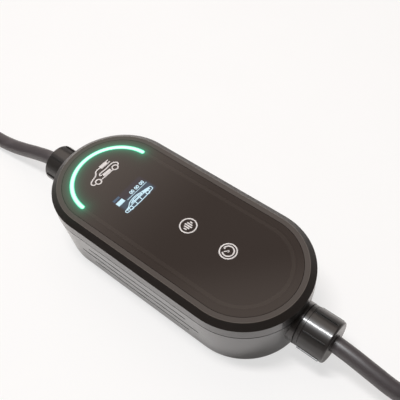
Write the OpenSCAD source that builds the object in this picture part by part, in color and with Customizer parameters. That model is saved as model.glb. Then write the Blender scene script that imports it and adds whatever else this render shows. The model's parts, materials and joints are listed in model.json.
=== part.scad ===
// Portable charging box for an electric car. The control box lies face up. A short supply
// lead with a mains plug leaves its lit end. A long vehicle lead leaves the other end and is
// wound into a tied hank, with its capped connector lying in the hank.
// X runs across the box, +Y towards the lit end and Z up, in millimetres. The origin is under
// the middle of the box, on the surface that it lies on.

/* [Control box] */
// Length of the box without its glands
box_l = 200; // [190:1:230]
// Width of the box, which is also the diameter of its round ends
box_w = 90; // [86:1:100]
// Height from the base to the face
box_h = 51; // [49:0.5:58]
// Height of the cover, from the line where it meets the case up to the face
cover_h = 12; // [11.5:0.5:14]
// Wall thickness of the case and the cover
wall = 2.5; // [2:0.1:3]
// Thickness of the case floor
floor_t = 3; // [2:0.1:4]
// How far the sides lean in at the base
draft = 2.8; // [1:0.1:4]
// Rounding of the edge round the base
base_round = 2.5; // [1:0.1:3]
// Height of the shadow line between the case and the cover
shadow_h = 0.7; // [0.3:0.1:1.2]
// Depth of the shadow line
shadow_d = 1; // [0.5:0.1:1.2]
// Width of the flanges on which the case and the cover meet
flange_w = 9; // [8:0.1:9.5]
// Thickness of those flanges
flange_t = 2.5; // [2:0.1:3]

/* [Side grooves] */
// Width of each decorative groove along the long sides
groove_w = 1.4; // [0.8:0.1:2]
// Depth of each groove
groove_d = 0.8; // [0.4:0.1:1.2]
// Length of the middle groove
groove_l = 104; // [80:1:105]
// How much shorter the upper and lower grooves are
groove_step = 18; // [0:1:30]
// Depth of the middle groove below the split
groove_drop = 18; // [16:0.5:20]
// Distance between neighbouring grooves
groove_pitch = 8.7; // [6:0.1:9]

/* [Face] */
// Inward reach of the sloped rim round the face
rim_in = 4.2; // [3:0.1:5]
// Drop of the sloped rim
rim_drop = 3; // [2:0.1:4]
// Width of the flat land between the rim and the panel
land_w = 3.6; // [2.5:0.1:4.5]
// Thickness of the front panel
panel_t = 2.5; // [2:0.1:3]
// Gap round the panel in its recess
panel_gap = 0.1; // [0.05:0.05:0.3]
// Bevel round the top edge of the panel
panel_bevel = 0.2; // [0.1:0.1:0.6]
// Width of the ledge that carries the panel
ledge_w = 4; // [3.5:0.1:4.5]
// Thickness of that ledge
ledge_t = 2.2; // [2:0.1:3]
// Thickness of the tape that bonds the panel
tape_t = 0.3; // [0.2:0.05:0.5]

/* [Indicator and display] */
// Width of the light guide behind the lit half ring
arc_w = 3.4; // [2.5:0.1:4]
// Gap between the lit half ring and the ledge at their ends
arc_gap = 1.5; // [1.2:0.1:4]
// How far the centre of the half ring lies past the centre of the round end
arc_shift = 0; // [0:0.1:1]
// Number of lamps under the light guide
led_n = 9; // [5:1:15]
// Width of the display glass
display_w = 34.5; // [28:0.5:40]
// Depth of the display glass along the box
display_d = 23; // [18:0.5:26]
// Distance of the display's middle from the middle of the box
display_y = 35.5; // [34:0.5:39]
// Thickness of both circuit boards
board_t = 1.6; // [1:0.1:2]
// Distance of the first touch key from the middle of the box
key_y = -11; // [-14:0.2:0]
// Distance between the touch keys
key_pitch = 32; // [24:0.5:34]
// Diameter of the contact pad under each key
key_d = 11; // [8:0.5:13]

/* [Screws] */
// Distance of the case bosses from the side of the box
boss_in = 11; // [10.8:0.1:11.4]
// Distance between neighbouring bosses along the box
boss_pitch = 46; // [40:0.5:50]
// Diameter of the bosses
boss_d = 9; // [8.6:0.1:9.4]
// Diameter of the case screws
screw_d = 3; // [2.5:0.1:3.2]
// Diameter of their heads
head_d = 5.5; // [5:0.1:5.8]
// Height of their heads
head_h = 2.2; // [1.6:0.1:3]
// Depth of the seat of those heads below the split
seat_drop = 11; // [8:0.5:18]
// Reach of the case screws above the split
screw_reach = 5; // [3:0.1:5.5]
// Clearance round screws and pins
screw_gap = 0.1; // [0.05:0.05:0.2]

/* [Main board] */
// Distance from each end of the box to the main board
board_end = 29; // [28:0.5:31]
// Gap between the main board and the bosses beside it
board_gap = 1; // [0.5:0.1:1.5]
// Height of the board above the case floor
standoff_h = 6; // [5:0.1:8]
// Diameter of the standoffs
standoff_d = 7; // [6.5:0.1:8]
// Distance of the standoffs from the board's edges
standoff_in = 4; // [3.8:0.1:4.5]
// Diameter of the board screws
board_screw_d = 2.5; // [2:0.1:2.8]
// Gap between neighbouring parts on the board
part_gap = 4; // [3:0.1:4.5]
// Length of a relay
relay_l = 30; // [26:0.5:32]
// Width of a relay
relay_w = 16; // [12:0.5:18]
// Height of a relay
relay_h = 24; // [16:0.5:26]
// Thickness of the residual current sensor
sensor_t = 14; // [10:0.5:15]
// Hole through the residual current sensor
sensor_hole_d = 13; // [10:0.5:15]
// Thickness of the sensor's ring round that hole
sensor_ring = 7.4; // [5:0.1:8]
// Length of the low voltage supply module
module_l = 34; // [28:0.5:35]
// Width of the low voltage supply module
module_w = 20; // [16:0.5:22]
// Height of the low voltage supply module
module_h = 15; // [12:0.5:20]
// Depth of the terminal blocks
terminal_d = 12; // [10:0.5:13]
// Height of the terminal blocks
terminal_h = 14; // [12:0.5:15]
// Distance between neighbouring terminals
terminal_pitch = 8; // [7:0.1:9]

/* [Glands] */
// Depth of the gland axis below the split
gland_drop = 15.5; // [15:0.5:17]
// Diameter of the port moulded on the case
port_d = 28.6; // [28.3:0.1:29.5]
// How far the port stands out of the box
port_out = 1.2; // [0.8:0.1:2]
// Length of the port through the wall
port_l = 9; // [8.8:0.1:9.5]
// Mean diameter of the gland thread
thread_d = 19; // [18:0.1:19.4]
// Diameter of the gland collar
collar_d = 28.2; // [27:0.1:28.6]
// Length of the gland collar
collar_l = 3.2; // [2.5:0.1:4]
// Wall of the gland nut round the stem
nut_wall = 2; // [1.6:0.1:2.4]
// Length of the stem inside the gland nut
stem_l = 14.4; // [13:0.1:14.8]
// Diameter of the gland nut between its ribs
nut_d = 28.6; // [27.6:0.1:29.5]
// Length of the gland nut
nut_l = 18.2; // [17.5:0.1:20]
// Height of the grip ribs on the nut
rib_h = 0.7; // [0.5:0.1:1.2]
// Width of each grip rib
rib_w = 0.8; // [0.6:0.1:2]
// Number of grip ribs
rib_n = 6; // [5:1:12]
// Thickness of the locknut inside the case
locknut_t = 5; // [4:0.1:5.5]
// Width of the locknut across its flats
locknut_w = 22.4; // [21.8:0.1:22.4]
// Clearance in threads and round the cable
fit_gap = 0.2; // [0.1:0.05:0.3]

/* [Cables] */
// Diameter of both cables
cable_d = 11; // [10.5:0.1:11]
// Diameter of the insulated cores inside
core_d = 3.2; // [2.6:0.1:3.4]
// Layers of the hank
hank_layers = 4; // [3:1:4]
// Straight run of the hank between its folds
hank_run = 202; // [200:1:210]
// Thickness of the ties round the hank
tie_t = 1.2; // [0.8:0.1:1.6]
// Width of the ties
tie_w = 20; // [12:1:25]

/* [Mains plug] */
// Diameter of the plug's body
plug_d = 38; // [37:0.2:39]
// Length of the plug's body
plug_l = 40; // [36:0.5:44]
// Length of the plug's strain relief
plug_boot_l = 28; // [20:0.5:30]
// Diameter of the pins
pin_d = 4.8; // [4:0.1:5]
// Length of the pins
pin_l = 19; // [17:0.1:20]
// Distance between the pins
pin_pitch = 19; // [18:0.1:20]

/* [Vehicle connector] */
// Diameter of the connector's head
head_dia = 64; // [62:0.5:65]
// Length of the head
head_l = 34; // [30:0.5:35]
// Diameter of the grip
grip_d = 36; // [33:0.5:36]
// Bend of the grip in degrees
grip_deg = 24; // [20:0.5:25]
// Radius of the bend at the middle of the grip
grip_r = 218; // [205:1:220]
// Length of the tapered tail
tail_l = 12; // [10:0.5:13]
// Length of the strain relief on the tail
boot_l = 28; // [24:0.5:30]
// Wall thickness of the connector's shell
shell_t = 3; // [2:0.1:3.5]
// Diameter of the contact carrier
nose_d = 54; // [50:0.5:55]
// How far the contact carrier stands out of the head
nose_out = 25; // [20:0.5:27]
// Wall thickness of the dust cap
cap_t = 3; // [2:0.1:3.2]

/* [Hidden] */
$fn = 64;
tiny = 0.01;

// Outline of the box
end_r = box_w / 2;
spine = box_l / 2 - end_r;
split_h = box_h - cover_h;
function side_r(z) = end_r - draft * (1 - z / split_h);
function inner_r(z) = side_r(z) - wall;

// Heights inside the cover, from the face down
panel_z = box_h - panel_t;
ledge_top = panel_z - tape_t;
ledge_bottom = ledge_top - ledge_t;
panel_r = end_r - rim_in - land_w;
ledge_r = panel_r - ledge_w;
flange_r = end_r - flange_w;
groove_h = split_h - groove_drop;
seat_h = split_h - seat_drop;
gland_h = split_h - gland_drop;

// Seal between the flanges
seal_w = 2;
seal_h = 1.6;
seal_depth = 2.4;
seal_r = end_r - 6;
seal_play = 0.1;

// Screw bosses
boss_x = end_r - boss_in;
boss_spots = [for (sx = [-1, 1], k = [-1, 0, 1]) [sx * boss_x, k * boss_pitch]];
web_t = 2;

// Display board, staked to the underside of the ledge
display_board_z = ledge_bottom - board_t;
display_board_r = ledge_r + 2.6;
stake_r = ledge_r + 1.3;
stake_y = 23;
stake_d = 1.6;
stake_head_d = 2.4;
stake_head_h = 0.7;
stake_spots = [for (sx = [-1, 1], sy = [-1, 1]) [sx * stake_r, sy * stake_y]];
arc_y = spine + arc_shift;
arc_r = ledge_r - arc_gap - arc_w / 2;
stack_h = panel_z - ledge_bottom;
led_w = 2;
led_h = 0.8;
arc_pocket_h = led_h + 0.2;

// Main board and the row of parts on it
board_z = floor_t + standoff_h;
board_top = board_z + board_t;
board_l = box_l - 2 * board_end;
board_w = 2 * (boss_x - boss_d / 2 - board_gap);
board_edge = 3;
standoff_spots = [for (sx = [-1, 1], sy = [-1, 1])
    [sx * (board_w / 2 - standoff_in), sy * (board_l / 2 - standoff_in)]];
terminal_y = board_l / 2 - board_edge - terminal_d / 2;
wire_h = 6;
wire_hole_d = core_d + 1.2;
wire_depth = 6;
sensor_y = terminal_y - terminal_d / 2 - part_gap - sensor_t / 2;
module_y = sensor_y - sensor_t / 2 - part_gap - module_l / 2;
relay_y = -terminal_y + terminal_d / 2 + part_gap + relay_l / 2;
row_x = 2;
clip_w = 7;
fuse_y = relay_y + relay_l / 2 + part_gap + clip_w / 2;
chip_w = 8;
chip_in = 1.5;

// Glands, from the face of the port outwards
port_y = box_l / 2 + port_out;
gland_in = port_l + locknut_t + 1.5;
gland_out = collar_l + nut_l;
stem_d = nut_d - 2 * (nut_wall + fit_gap);
rib_turn = 9.3;
cable_r = cable_d / 2;
pocket_d = 2 * cable_r + 5.6;
pocket_z = collar_l + 0.8;
nut_gap = 0.3;

// Hank: two columns of turns, folded at three and four cable diameters
hank_x = -15;
hank_near_y = -243;
hank_far_y = hank_near_y - hank_run;
fold_r = 33;
hank_columns = 2;
hank_in_r = fold_r - cable_r;
hank_w = hank_columns * cable_d;
hank_z = tie_t;
hank_h = hank_layers * cable_d;
hank_top = hank_z + hank_h;
rise_l = 80;
tie_in = 70;
turn_r = fold_r + cable_r;
lead_x = hank_x + fold_r + cable_d;
low_z = hank_z + cable_r;
high_z = hank_top - cable_r;
over_z = hank_top + tie_t + cable_r + 0.2;

// Plug, lying beside its lead with the pins towards the box
plug_x = -49.5;
plug_y = 222;
plug_z = plug_d / 2;
pin_root_d = pin_d - 0.8;
pin_root_l = 6;

// Connector, lying in the slot of the hank with its cap towards the box
conn_x = hank_x;
conn_y = hank_far_y + (turn_r + grip_r) * sin(grip_deg) + (tail_l + boot_l) * cos(grip_deg);
conn_rest = 13.4;
conn_z = hank_top + conn_rest;

// Cables enter the box through the glands and end inside
cable_in_y = port_y - gland_in - 1;
cable_out_y = port_y + gland_out;

// Where the connector's strain relief ends, and the way that the cable enters it
tail_way = [sin(grip_deg), cos(grip_deg), 0];
tail_end = [conn_x - grip_r * (1 - cos(grip_deg)), conn_y - grip_r * sin(grip_deg), conn_z]
    - (tail_l + boot_l) * tail_way;

// Routes of the free cables, point by point
supply_route = concat(
    [[0, cable_in_y, gland_h], [0, port_y, gland_h], [0, cable_out_y, gland_h]],
    [[-0.5, 135, 21.6], [-1.5, 150, 17.4], [-3, 165, 13], [-4.3, 180, 9.2], [-5, 196, 6.5],
     [-4.6, 214, 5.5], [-1, 234, 5.5], [8, 256, 5.5], [20, 277, 5.5], [30.5, 297, 5.5],
     [37, 315, 5.5], [39, 332, 5.5], [33.1, 354.1, 5.5], [16.9, 370.3, 5.5], [-5.2, 376.3, 5.6],
     [-27.4, 370.3, 6.4], [-43.6, 354.1, 8.6], [-49.5, 332, 12.6], [-49.5, 314, 16.8]],
    [[plug_x, plug_y + plug_l + plug_boot_l + 10, plug_z],
     [plug_x, plug_y + plug_l + plug_boot_l, plug_z]]);
vehicle_route = concat(
    [[0, -cable_in_y, gland_h], [0, -port_y, gland_h], [0, -cable_out_y, gland_h]],
    [[-0.3, -135, 22.4], [-0.8, -150, 19.8], [-0.5, -165, 16], [3.4, -180, 10.4], [10.7, -195, 6.8],
     [19.1, -210, low_z], [lead_x - 2.8, -225, low_z], [lead_x - 0.3, -236, low_z],
     [lead_x, hank_near_y, low_z]]);
tail_route = concat(
    [[lead_x, hank_near_y, high_z], [lead_x, -262, high_z + 1.1], [lead_x, -285, high_z + 6.3],
     [lead_x, -306, high_z + 10.7], [lead_x - 2, -330, over_z], [hank_x + turn_r, -362, over_z],
     [hank_x + turn_r, -402, over_z]],
    [for (a = [0:30:180]) turn_point(a)],
    [tail_end]);
function turn_point(a) = [hank_x + turn_r * cos(a), hank_far_y - turn_r * sin(a),
    over_z + (conn_z - over_z) * a / (180 + grip_deg)];

// Inside the connector: wall, screws and contacts, as across and up on its face
flare_l = 17;
shell_step = 0.5;
shell_lap = 1;
neck_r = grip_d / 2 + shell_step;
head_edge = 2;
tail_r = grip_d / 2 - 5;
post_h = grip_d / 2 - shell_t / 2;
grip_seat = 8;
grip_screw_in = 10;
conn_screws = [for (a = [0.25, 0.75] * grip_deg) [-grip_r * (1 - cos(a)), -grip_r * sin(a)]];
contact_spots = [[0, 0, 6], [-16, 0, 6], [16, 0, 6], [-8.5, -14.5, 6], [8.5, -14.5, 6],
    [-6.8, 13, 3], [6.8, 13, 3]];
contact_l = 30;

cable_black = "#26262a";
case_black = "#1b1b1d";
nylon_black = "#202022";
board_green = "#1d4d34";

// Unit vector along v
function unit(v) = v / norm(v);

// Direction of a route at point i, with given directions at its two ends
function way(p, i, first, last) =
    i == 0 ? first : i == len(p) - 1 ? last : unit(p[i + 1] - p[i - 1]);

// One ring of a tube, square to direction t
function ring(c, t, r, n) =
    let (side = unit(cross(t, [0, 0, 1])), up = cross(side, t))
    [for (k = [0:n - 1]) c + r * (cos(360 * k / n) * side + sin(360 * k / n) * up)];

// A tube of diameter d along a route
module tube(route, d, first, last, sides = 12) {
    rings = len(route);
    points = [for (i = [0:rings - 1]) each ring(route[i], way(route, i, first, last), d / 2, sides)];
    walls = [for (i = [0:rings - 2], k = [0:sides - 1])
        let (a = i * sides + k, b = i * sides + (k + 1) % sides)
        each [[a, b, b + sides], [a, b + sides, a + sides]]];
    start_cap = [for (k = [1:sides - 2]) [0, k + 1, k]];
    end_cap = [for (k = [1:sides - 2]) (rings - 1) * sides * [1, 1, 1] + [0, k, k + 1]];
    polyhedron(points, concat(start_cap, walls, end_cap));
}

// A profile of radius and height swept round a racetrack with straights of length 2 * half
module racetrack(half) {
    for (turn = [0, 180]) rotate(turn) {
        translate([0, half, 0]) rotate_extrude(angle = 180) children();
        translate([0, half, 0]) rotate([90, 0, 0]) linear_extrude(2 * half) children();
    }
}

// A flat racetrack plate of the given radius and thickness
module plate(half, r, t) {
    linear_extrude(t) {
        square([2 * r, 2 * half], center = true);
        for (s = [-1, 1]) translate([0, s * half]) circle(r);
    }
}

// A rectangle with round corners, centred
module round_rect(w, h, r) {
    square([w - 2 * r, h], center = true);
    square([w, h - 2 * r], center = true);
    for (sx = [-1, 1], sy = [-1, 1]) translate([sx * (w / 2 - r), sy * (h / 2 - r)]) circle(r);
}

// An upright block with round edges, standing on z = 0
module block(w, l, h, r = 1) {
    linear_extrude(h) round_rect(w, l, r);
}

// Places its children on a gland's axis, with z = 0 on the face of the port and z outwards
module at_gland(end) {
    rotate([0, 0, end == "supply" ? 0 : 180])
        translate([0, port_y, gland_h]) rotate([-90, 0, 0]) children();
}

// A hexagonal prism of the given width across flats, with two flats level
module hexagon(flats, h) {
    cylinder(d = flats / cos(30), h = h, $fn = 6);
}

// A tub with a leaning wall, an inner flange, screw bosses and two gland ports
module lower_case() {
    base_r = end_r - draft;
    flange_low = split_h - flange_t;
    slope_z = flange_low - (inner_r(flange_low) - flange_r);
    color(case_black) difference() {
        union() {
            racetrack(spine) polygon(concat(
                [[0, 0]],
                [for (a = [-90:15:0])
                    [base_r - base_round + base_round * cos(a), base_round + base_round * sin(a)]],
                [[end_r, split_h], [flange_r, split_h], [flange_r, flange_low],
                 [inner_r(slope_z), slope_z], [inner_r(floor_t), floor_t], [0, floor_t]]));
            for (p = boss_spots) translate(p) {
                cylinder(d = boss_d, h = split_h);
                web_l = inner_r(floor_t) + wall / 2 - boss_x;
                translate([p[0] > 0 ? 0 : -web_l, -web_t / 2, tiny]) cube([web_l, web_t, slope_z]);
            }
            for (p = standoff_spots) translate(p) cylinder(d = standoff_d, h = board_z);
            for (end = ["supply", "vehicle"])
                at_gland(end) translate([0, 0, -port_l]) cylinder(d = port_d, h = port_l);
        }
        racetrack(spine) translate([seal_r - seal_w / 2 - seal_play, split_h - seal_depth])
            square([seal_w + 2 * seal_play, seal_depth + 1]);
        for (p = boss_spots) translate([p[0], p[1], -1]) {
            cylinder(d = head_d + 4 * screw_gap, h = seat_h + 1);
            cylinder(d = screw_d + 2 * screw_gap, h = split_h + 2);
        }
        for (p = standoff_spots) translate([p[0], p[1], floor_t + 1])
            cylinder(d = board_screw_d + 2 * screw_gap, h = board_z);
        for (end = ["supply", "vehicle"])
            at_gland(end) {
                translate([0, 0, -port_l - 1]) cylinder(d = thread_d + 2 * fit_gap, h = port_l + 2);
                translate([0, 0, -port_l - locknut_t]) hexagon(locknut_w + 2 * fit_gap, locknut_t);
            }
        for (sx = [-1, 1], k = [-1, 0, 1]) side_groove(sx, groove_h + k * groove_pitch,
            groove_l - abs(k) * groove_step);
    }
}

// A cutter for one round-ended groove in a long side
module side_groove(sx, z, l) {
    x = side_r(z) - groove_d;
    translate([sx * x, 0, z]) rotate([0, sx * 90, 0]) linear_extrude(4 * groove_d) {
        square([groove_w, l - groove_w], center = true);
        for (s = [-1, 1]) translate([0, s * (l - groove_w) / 2]) circle(d = groove_w);
    }
}

// A frame with a sloped rim and a ledge for the panel, closed below by its flange
module upper_cover() {
    recess_r = panel_r + panel_gap;
    color(case_black) difference() {
        union() {
            racetrack(spine) polygon([
                [flange_r, split_h], [end_r - shadow_d, split_h], [end_r - shadow_d, split_h + shadow_h],
                [end_r, split_h + shadow_h], [end_r, box_h - rim_drop], [end_r - rim_in, box_h],
                [recess_r, box_h], [recess_r, ledge_top], [ledge_r, ledge_top], [ledge_r, ledge_bottom],
                [end_r - wall, ledge_bottom], [end_r - wall, split_h + flange_t],
                [flange_r, split_h + flange_t]]);
            racetrack(spine) translate([seal_r - seal_w / 2, split_h - seal_depth + seal_h])
                square([seal_w, seal_depth - seal_h + tiny]);
            for (p = boss_spots) translate([p[0], p[1], split_h])
                cylinder(d = boss_d, h = ledge_bottom - split_h + ledge_t / 2);
            for (p = stake_spots) translate([p[0], p[1], display_board_z]) {
                cylinder(d = stake_d, h = board_t + ledge_t / 2);
                translate([0, 0, -stake_head_h]) cylinder(d = stake_head_d, h = stake_head_h);
            }
        }
        for (p = boss_spots) translate([p[0], p[1], split_h - 1])
            cylinder(d = screw_d + 2 * screw_gap, h = screw_reach + 1.5);
    }
}

module case_seal() {
    color("#3a3a3a") racetrack(spine)
        translate([seal_r - seal_w / 2, split_h - seal_depth]) square([seal_w, seal_h]);
}

module front_panel() {
    color("#141414") racetrack(spine) polygon([
        [0, panel_z], [panel_r, panel_z], [panel_r, box_h - panel_bevel],
        [panel_r - panel_bevel, box_h], [0, box_h]]);
}

module panel_tape() {
    color("#303030") racetrack(spine)
        translate([ledge_r, ledge_top]) square([ledge_w - 1, tape_t]);
}

// A half ring of clear plastic over the lamps, with a pocket underneath
module light_guide() {
    color("#d8fff0") translate([0, arc_y, ledge_bottom]) rotate_extrude(angle = 180)
        difference() {
            translate([arc_r - arc_w / 2, 0]) square([arc_w, stack_h]);
            translate([arc_r - led_w / 2 - 0.2, -tiny]) square([led_w + 0.4, arc_pocket_h]);
        }
}

module indicator_leds() {
    color("#f4f1d8") translate([0, arc_y, ledge_bottom])
        for (k = [0:led_n - 1]) rotate((k + 0.5) * 180 / led_n)
            translate([arc_r - led_w / 2, -led_w / 2, 0]) cube([led_w, led_w, led_h]);
}

// Display glass with a driver ledge along its far edge
module display_module() {
    ledge = 4;
    half_h = stack_h / 2;
    color("#0c1020") translate([0, display_y, ledge_bottom]) {
        translate([-display_w / 2, -display_d / 2, 0]) cube([display_w, display_d, half_h]);
        translate([-display_w / 2, -display_d / 2 + ledge, half_h - tiny])
            cube([display_w, display_d - ledge, stack_h - half_h + tiny]);
    }
}

module display_board() {
    color(board_green) translate([0, 0, display_board_z]) difference() {
        plate(spine, display_board_r, board_t);
        for (p = boss_spots) translate([p[0], p[1], -1]) cylinder(d = boss_d + board_gap, h = board_t + 2);
        for (p = stake_spots) translate([p[0], p[1], -1])
            cylinder(d = stake_d + 2 * screw_gap, h = board_t + 2);
    }
}

// Conductive pads between the display board and the panel, one under each key
module touch_pads() {
    color("#55565a") for (k = [0, 1])
        translate([0, key_y - k * key_pitch, ledge_bottom]) cylinder(d = key_d, h = stack_h);
}

module buzzer() {
    buzzer_d = 12;
    buzzer_h = 7.5;
    buzzer_x = 16;
    color("#101010") translate([buzzer_x, fuse_y, display_board_z - buzzer_h]) difference() {
        cylinder(d = buzzer_d, h = buzzer_h);
        translate([0, 0, -1]) cylinder(d = 2, h = 3);
    }
}

// A ribbon with a plug at each end, from the main board up to the display board
module board_link() {
    link_w = 14;
    plug_t = 6;
    plug_h = 7;
    ribbon_t = 1;
    color("#8a8d92") translate([-board_w / 2 + 4, relay_y + relay_l / 2 + 2 * part_gap, board_top]) {
        rise = display_board_z - board_top;
        block(plug_t, link_w, plug_h, 0.6);
        translate([0, 0, rise - plug_h]) block(plug_t, link_w, plug_h, 0.6);
        translate([-ribbon_t / 2, -link_w / 2 + 1, plug_h - tiny])
            cube([ribbon_t, link_w - 2, rise - 2 * plug_h + 2 * tiny]);
    }
}

module main_board() {
    color(board_green) difference() {
        translate([0, 0, board_z]) block(board_w, board_l, board_t, 2);
        for (p = standoff_spots) translate([p[0], p[1], board_z - 1])
            cylinder(d = board_screw_d + 4 * screw_gap, h = board_t + 2);
    }
}

// Two relays side by side, each on a small foot
module relays() {
    foot = 1.5;
    color("#2b3550") for (s = [-1, 1])
        translate([s * (relay_w / 2 + row_x), relay_y, board_top]) {
            block(relay_w - 1, relay_l - 1, foot + tiny, 1);
            translate([0, 0, foot]) block(relay_w, relay_l, relay_h - foot, 1.5);
        }
}

// A ring core in a housing, standing on the board with its hole along the box
module residual_current_sensor() {
    core_r = sensor_hole_d / 2 + sensor_ring;
    edge = 1.2;
    color("#303a34") translate([0, sensor_y + sensor_t / 2, board_top + core_r]) rotate([90, 0, 0])
        rotate_extrude() polygon([
            [sensor_hole_d / 2, edge], [sensor_hole_d / 2 + edge, 0], [core_r - edge, 0], [core_r, edge],
            [core_r, sensor_t - edge], [core_r - edge, sensor_t],
            [sensor_hole_d / 2 + edge, sensor_t], [sensor_hole_d / 2, sensor_t - edge]]);
}

module power_module() {
    color("#17181a") translate([-module_w / 2 - row_x, module_y, board_top])
        block(module_w, module_l, module_h, 1.2);
}

// A boxed film capacitor and a round electrolytic one
module capacitors() {
    film_w = 9;
    film_l = 18;
    film_h = 16;
    can_d = 10;
    can_h = 16;
    x = row_x + film_w / 2;
    color("#c9b23a") translate([x, module_y + module_l / 2 - film_l / 2, board_top])
        block(film_w, film_l, film_h, 1);
    color("#23314e") translate([x, module_y - module_l / 2 + can_d / 2, board_top])
        cylinder(d = can_d, h = can_h);
}

// Two disc varistors on edge
module varistors() {
    disc_d = 12;
    disc_t = 4;
    flat = 0.6;
    color("#2e5aa0") for (k = [0, 1])
        translate([board_w / 2 - 6 - disc_t / 2, module_y + (k - 0.5) * (disc_d + part_gap), board_top])
            translate([0, 0, disc_d / 2 - flat]) difference() {
                rotate([0, 90, 0]) cylinder(d = disc_d, h = disc_t, center = true);
                translate([0, 0, flat - disc_d]) cube(disc_d, center = true);
            }
}

// A tube fuse across the board, in its two end clips
module fuse() {
    fuse_d = 6;
    fuse_l = 22;
    clip_l = 5;
    lift = 4;
    color("#cfcabb") translate([0, fuse_y, board_top]) {
        translate([-fuse_l / 2, 0, lift]) rotate([0, 90, 0]) cylinder(d = fuse_d, h = fuse_l);
        for (s = [-1, 1]) translate([s * (fuse_l - clip_l) / 2, 0, 0]) block(clip_l, clip_w, lift, 0.6);
    }
}

module controller_chip() {
    color("#0e0e10") translate([board_w / 2 - chip_in - chip_w / 2, fuse_y, board_top])
        block(chip_w, chip_w, 1.4, 0.5);
}

// A row of terminals with a wire hole towards the gland and a screw hole on top of each
module terminal_row(poles) {
    w = poles * terminal_pitch + 2;
    difference() {
        block(w, terminal_d, terminal_h, 0.8);
        for (k = [0:poles - 1]) translate([(k - (poles - 1) / 2) * terminal_pitch, 0, 0]) {
            translate([0, terminal_d / 2 - wire_depth, wire_h]) rotate([-90, 0, 0])
                cylinder(d = wire_hole_d, h = wire_depth + 1);
            translate([0, -1, terminal_h - 3]) cylinder(d = 3.6, h = 4);
        }
    }
}

module supply_terminals() {
    color("#4f7f4a") translate([0, terminal_y, board_top]) terminal_row(3);
}

module vehicle_terminals() {
    color("#4f7f4a") translate([0, -terminal_y, board_top]) rotate(180) terminal_row(4);
}

// Insulated cores from the end of a cable down to its terminals
module leads(poles) {
    spread = core_d * (poles == 3 ? 1.02 : 0.66);
    y0 = cable_in_y;
    y1 = terminal_y + terminal_d / 2 - wire_depth;
    z1 = board_top + wire_h;
    for (k = [0:poles - 1]) {
        u = k - (poles - 1) / 2;
        x0 = poles == 3 ? u * spread : sign(u) * spread;
        z0 = gland_h + (poles == 3 ? 0 : abs(u) > 1 ? spread : -spread);
        x1 = u * terminal_pitch;
        mid = [(x0 + x1) / 2, (y0 + y1 + wire_depth) / 2, (z0 + z1) / 2];
        tube([[x0, y0, z0], [x0, y0 - 4, z0], mid, [x1, y1 + wire_depth + 3, z1], [x1, y1, z1]],
            core_d, [0, -1, 0], [0, -1, 0], 8);
    }
}

module supply_leads() {
    color("#7d4a2c") leads(3);
}

module vehicle_leads() {
    color("#2f5f9a") rotate(180) leads(4);
}

// Screws from the underside up through the bosses into the cover
module case_screws() {
    color("#b9bcc0") for (p = boss_spots) translate([p[0], p[1], seat_h]) {
        translate([0, 0, -head_h]) cylinder(d = head_d, h = head_h);
        cylinder(d = screw_d, h = split_h + screw_reach - seat_h);
    }
}

module board_screws() {
    pan_d = 5;
    pan_h = 1.8;
    color("#b9bcc0") for (p = standoff_spots) translate([p[0], p[1], board_top]) {
        cylinder(d = pan_d, h = pan_h);
        translate([0, 0, -6]) cylinder(d = board_screw_d, h = 6 + tiny);
    }
}

// Threaded stem with a collar that seats on the port and a pocket for the seal
module gland_body() {
    color(nylon_black) rotate_extrude() polygon([
        [cable_r + fit_gap, -gland_in], [thread_d / 2, -gland_in], [thread_d / 2, 0], [collar_d / 2 - 0.6, 0],
        [collar_d / 2, 0.6], [collar_d / 2, collar_l], [stem_d / 2, collar_l],
        [stem_d / 2, collar_l + stem_l], [pocket_d / 2, collar_l + stem_l],
        [pocket_d / 2, pocket_z], [cable_r + fit_gap, pocket_z]]);
}

module gland_locknut() {
    color(nylon_black) translate([0, 0, -port_l - locknut_t]) difference() {
        hexagon(locknut_w, locknut_t);
        translate([0, 0, -1]) cylinder(d = thread_d + 2 * fit_gap, h = locknut_t + 2);
    }
}

module gland_seal() {
    color("#2d2d2d") translate([0, 0, pocket_z]) difference() {
        cylinder(d = pocket_d - 2 * screw_gap, h = collar_l + stem_l - pocket_z);
        translate([0, 0, -1]) cylinder(d = cable_d, h = stem_l + 2);
    }
}

// A round cap nut with thin grip ribs
module gland_nut() {
    nut_r = nut_d / 2;
    low = collar_l + nut_gap;
    high = collar_l + nut_l;
    edge = 1.2;
    rib_low = low + 0.4;
    root = 0.6;
    rib_high = high - edge - root;
    color(nylon_black) {
        rotate_extrude() polygon(concat(
            [[stem_d / 2 + fit_gap, low], [nut_r, low], [nut_r, high - edge]],
            [for (a = [30:30:90]) [nut_r - edge + edge * cos(a), high - edge + edge * sin(a)]],
            [[cable_r + 2 * fit_gap, high], [cable_r + 2 * fit_gap, collar_l + stem_l],
             [stem_d / 2 + fit_gap, collar_l + stem_l]]));
        for (k = [0:rib_n - 1]) rotate(rib_turn + k * 360 / rib_n)
            translate([nut_r - root, rib_w / 2, 0]) rotate([90, 0, 0]) linear_extrude(rib_w)
                polygon([[0, rib_low], [root + rib_h, rib_low], [root + rib_h, rib_high - rib_h],
                    [0, rib_high + root]]);
    }
}

module supply_gland_body() at_gland("supply") gland_body();
module supply_gland_locknut() at_gland("supply") gland_locknut();
module supply_gland_seal() at_gland("supply") gland_seal();
module supply_gland_nut() at_gland("supply") gland_nut();
module vehicle_gland_body() at_gland("vehicle") gland_body();
module vehicle_gland_locknut() at_gland("vehicle") gland_locknut();
module vehicle_gland_seal() at_gland("vehicle") gland_seal();
module vehicle_gland_nut() at_gland("vehicle") gland_nut();

module supply_cable() {
    color(cable_black) tube(supply_route, cable_d, [0, 1, 0], [0, -1, 0]);
}

module vehicle_cable() {
    color(cable_black) tube(vehicle_route, cable_d, [0, -1, 0], [0, -1, 0]);
}

module vehicle_tail() {
    color(cable_black) tube(tail_route, cable_d, [0, -1, 0], tail_way);
}

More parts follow.
